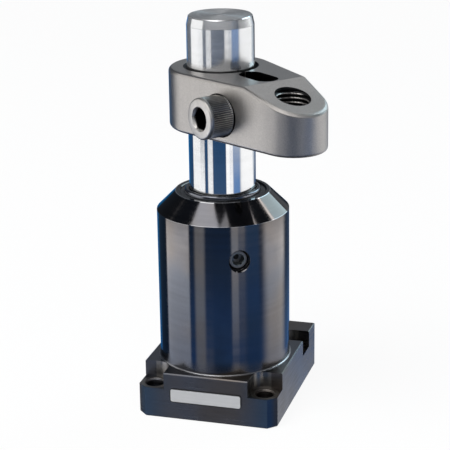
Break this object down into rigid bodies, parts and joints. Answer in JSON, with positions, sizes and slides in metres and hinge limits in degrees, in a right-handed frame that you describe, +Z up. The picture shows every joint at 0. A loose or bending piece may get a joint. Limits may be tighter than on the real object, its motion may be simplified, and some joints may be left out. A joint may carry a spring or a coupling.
{
  "type": "swing clamp cylinder",
  "caption": "Hydraulic swing clamp on a square lower flange: a cylinder whose plunger rises and turns, with a split clamp arm pinched on the plunger.",
  "frame": {"origin": "on the plunger axis at the underside of the flange, which is the centre of the mounting bolt pattern", "axes": "+Z up along the plunger, -Y towards the front face, +X to the right seen from the front"},
  "size_m": [0.0934, 0.0971, 0.191],
  "materials": {
    "black_oxide": "black oxide on turned and milled steel, lightly oiled",
    "ground_steel": "ground and polished",
    "satin_steel": "satin, fine brushed grain",
    "screw_black": "black oxide, knurled head",
    "wiper_rubber": "smooth black rubber",
    "polyurethane": "moulded polyurethane",
    "bronze": "turned bronze",
    "machined_steel": "plain machined steel",
    "spring_steel": "oil-tempered spring steel",
    "wear_resin": "filled resin",
    "label_metal": "bare matt aluminium foil"
  },
  "bodies": {
    "housing": {"body": "black_oxide", "guide_bush": "bronze", "rod_seal": "polyurethane", "rod_wiper": "wiper_rubber", "lock_screw": "screw_black", "end_cap": "machined_steel", "cap_o_ring": "wiper_rubber", "retaining_ring": "spring_steel", "cap_key": "machined_steel", "cam_post": "machined_steel", "post_nut": "machined_steel", "gallery_plug": "machined_steel", "breather": "bronze", "label_plate": "label_metal"},
    "spring": {"return_spring": "spring_steel"},
    "seat": {"spring_seat": "machined_steel", "thrust_washer": "bronze"},
    "plunger": {"plunger": "ground_steel", "piston_seal": "polyurethane", "wear_ring": "wear_resin", "ball_cage": "bronze", "guide_balls": "ground_steel", "clamp_arm": "satin_steel", "pinch_screw": "screw_black"}
  },
  "joints": [
    {"name": "clamp_stroke", "type": "slide", "parent": "housing", "child": "spring", "axis": [0, 0, 1], "range_m": [-0.0127, 0], "stiffness_N_per_m": 25000, "springref_m": 0.0009, "deforming": ["return_spring"]},
    {"name": "swing_lift", "type": "slide", "parent": "spring", "child": "seat", "axis": [0, 0, 1], "range_m": [0, 0.0152]},
    {"name": "swing_turn", "type": "hinge", "parent": "seat", "child": "plunger", "pos_m": [0, 0, 0.05], "axis": [0, 0, 1], "range_deg": [0, 90]}
  ],
  "couplings": [
    {"joint": "swing_turn", "follows": "swing_lift", "rad_per_m": 103.34}
  ]
}
